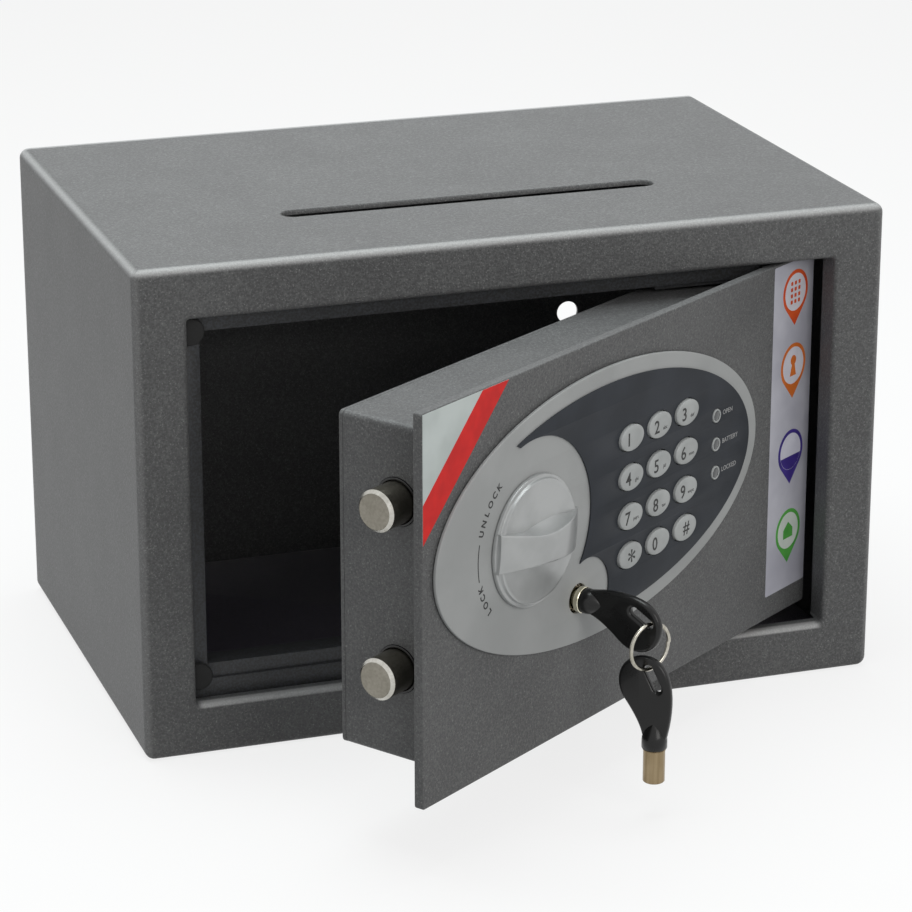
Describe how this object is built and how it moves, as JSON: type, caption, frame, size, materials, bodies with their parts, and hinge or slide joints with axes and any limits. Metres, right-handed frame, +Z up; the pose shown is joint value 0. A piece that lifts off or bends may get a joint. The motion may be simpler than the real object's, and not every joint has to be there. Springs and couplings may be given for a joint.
{
  "type": "drop safe",
  "caption": "Small steel counter safe with a deposit slot in its roof, an electronic keypad door with turning knob, round bolts and a key override.",
  "frame": {"origin": "middle of the cabinet's flat underside", "axes": "+X to the cabinet's right seen from the front, +Y from the front face into the cabinet, +Z up"},
  "size_m": [0.31, 0.3312, 0.2],
  "materials": {
    "shell_paint": "hammered grey powder coat",
    "frame_paint": "dark grey powder coat",
    "felt": "short felt pile",
    "rubber": "matt",
    "zinc": "zinc plated",
    "bolt_steel": "turned and polished",
    "fascia_grey": "satin grey",
    "film": "satin charcoal",
    "key_grey": "satin light grey",
    "knob_silver": "silver lacquer",
    "lamp_lens": "clear grey",
    "board_green": "circuit board",
    "black_plastic": "glossy black",
    "cell_wrap": "printed sleeve",
    "brass": "turned",
    "nickel": "nickel plated",
    "red_plastic": "glossy red"
  },
  "bodies": {
    "cabinet": {"cabinet_shell": "shell_paint", "back_panel": "shell_paint", "stop_flange": "frame_paint", "sill_rail": "frame_paint", "hinge_bracket": "frame_paint", "anti_fish_baffle": "frame_paint", "floor_mat": "felt", "hinge_spacer": "zinc", "bumper_upper": "rubber", "bumper_lower": "rubber"},
    "door": {"door_plate": "shell_paint", "door_pan": "shell_paint", "door_back_cover": "shell_paint", "battery_tray": "black_plastic", "battery_1": "cell_wrap", "battery_2": "cell_wrap", "battery_3": "cell_wrap", "battery_4": "cell_wrap", "hinge_pin_upper": "zinc", "hinge_pin_lower": "zinc", "fascia_panel": "fascia_grey", "keypad_film": "film", "control_board": "board_green", "status_lamp_1": "lamp_lens", "status_lamp_2": "lamp_lens", "status_lamp_3": "lamp_lens", "knob_bush": "brass", "bolt_bush_upper": "black_plastic", "bolt_bush_lower": "black_plastic", "carriage_guide": "zinc", "solenoid_body": "zinc", "lock_housing": "nickel"},
    "knob": {"knob": "knob_silver", "knob_spindle": "zinc", "knob_cam": "zinc"},
    "bolts": {"bolt_upper": "bolt_steel", "bolt_lower": "bolt_steel", "bolt_carriage": "zinc"},
    "plunger": {"solenoid_plunger": "nickel"},
    "plug": {"lock_plug": "nickel", "lock_lever": "zinc"},
    "key": {"key_bow": "black_plastic", "key_tube": "nickel"},
    "ring": {"key_ring": "nickel"},
    "spare": {"spare_key_bow": "black_plastic", "spare_key_tube": "nickel"},
    "reset": {"reset_button": "red_plastic"},
    "battery_lid": {"battery_cover": "black_plastic"},
    "key_1": {"key_1": "key_grey"},
    "key_2": {"key_2": "key_grey"},
    "key_3": {"key_3": "key_grey"},
    "key_4": {"key_4": "key_grey"},
    "key_5": {"key_5": "key_grey"},
    "key_6": {"key_6": "key_grey"},
    "key_7": {"key_7": "key_grey"},
    "key_8": {"key_8": "key_grey"},
    "key_9": {"key_9": "key_grey"},
    "key_star": {"key_star": "key_grey"},
    "key_0": {"key_0": "key_grey"},
    "key_hash": {"key_hash": "key_grey"}
  },
  "joints": [
    {"name": "door_swing", "type": "hinge", "parent": "cabinet", "child": "door", "pos_m": [0.104, -0.0875, 0.1], "axis": [0, 0, 1], "range_deg": [-34.5, 75.5]},
    {"name": "knob_turn", "type": "hinge", "parent": "door", "child": "knob", "pos_m": [-0.02993, -0.19629, 0.1123], "axis": [-0.5664, 0.8241, 0], "range_deg": [0, 90]},
    {"name": "bolts_slide", "type": "slide", "parent": "door", "child": "bolts", "axis": [0.8241, 0.5664, 0], "range_m": [0, 0.012]},
    {"name": "plunger_drop", "type": "slide", "parent": "door", "child": "plunger", "axis": [0, 0, 1], "range_m": [-0.004, 0], "stiffness_N_per_m": 200},
    {"name": "plug_turn", "type": "hinge", "parent": "door", "child": "plug", "pos_m": [-0.00471, -0.17896, 0.0795], "axis": [-0.5664, 0.8241, 0], "range_deg": [0, 90]},
    {"name": "key_slide", "type": "slide", "parent": "plug", "child": "key", "axis": [0.5664, -0.8241, 0], "range_m": [0, 0.025]},
    {"name": "ring_swing", "type": "hinge", "parent": "key", "child": "ring", "pos_m": [0.01386, -0.20599, 0.0769], "axis": [0.9483, 0.3173, 0], "range_deg": [-30, 8]},
    {"name": "spare_swing", "type": "hinge", "parent": "ring", "child": "spare", "pos_m": [0.01386, -0.20599, 0.0587], "axis": [0.9483, 0.3173, 0], "range_deg": [-30, 8]},
    {"name": "reset_press", "type": "slide", "parent": "door", "child": "reset", "axis": [0.5664, -0.8241, 0], "range_m": [0, 0.0012], "stiffness_N_per_m": 1500},
    {"name": "battery_lid_lift", "type": "slide", "parent": "door", "child": "battery_lid", "axis": [-0.5664, 0.8241, 0], "range_m": [0, 0.012]},
    {"name": "press_1", "type": "slide", "parent": "door", "child": "key_1", "axis": [-0.5664, 0.8241, 0], "range_m": [0, 0.0008], "stiffness_N_per_m": 1500},
    {"name": "press_2", "type": "slide", "parent": "door", "child": "key_2", "axis": [-0.5664, 0.8241, 0], "range_m": [0, 0.0008], "stiffness_N_per_m": 1500},
    {"name": "press_3", "type": "slide", "parent": "door", "child": "key_3", "axis": [-0.5664, 0.8241, 0], "range_m": [0, 0.0008], "stiffness_N_per_m": 1500},
    {"name": "press_4", "type": "slide", "parent": "door", "child": "key_4", "axis": [-0.5664, 0.8241, 0], "range_m": [0, 0.0008], "stiffness_N_per_m": 1500},
    {"name": "press_5", "type": "slide", "parent": "door", "child": "key_5", "axis": [-0.5664, 0.8241, 0], "range_m": [0, 0.0008], "stiffness_N_per_m": 1500},
    {"name": "press_6", "type": "slide", "parent": "door", "child": "key_6", "axis": [-0.5664, 0.8241, 0], "range_m": [0, 0.0008], "stiffness_N_per_m": 1500},
    {"name": "press_7", "type": "slide", "parent": "door", "child": "key_7", "axis": [-0.5664, 0.8241, 0], "range_m": [0, 0.0008], "stiffness_N_per_m": 1500},
    {"name": "press_8", "type": "slide", "parent": "door", "child": "key_8", "axis": [-0.5664, 0.8241, 0], "range_m": [0, 0.0008], "stiffness_N_per_m": 1500},
    {"name": "press_9", "type": "slide", "parent": "door", "child": "key_9", "axis": [-0.5664, 0.8241, 0], "range_m": [0, 0.0008], "stiffness_N_per_m": 1500},
    {"name": "press_star", "type": "slide", "parent": "door", "child": "key_star", "axis": [-0.5664, 0.8241, 0], "range_m": [0, 0.0008], "stiffness_N_per_m": 1500},
    {"name": "press_0", "type": "slide", "parent": "door", "child": "key_0", "axis": [-0.5664, 0.8241, 0], "range_m": [0, 0.0008], "stiffness_N_per_m": 1500},
    {"name": "press_hash", "type": "slide", "parent": "door", "child": "key_hash", "axis": [-0.5664, 0.8241, 0], "range_m": [0, 0.0008], "stiffness_N_per_m": 1500}
  ],
  "couplings": [
    {"joint": "knob_turn", "follows": "bolts_slide", "rad_per_m": 130.9}
  ]
}
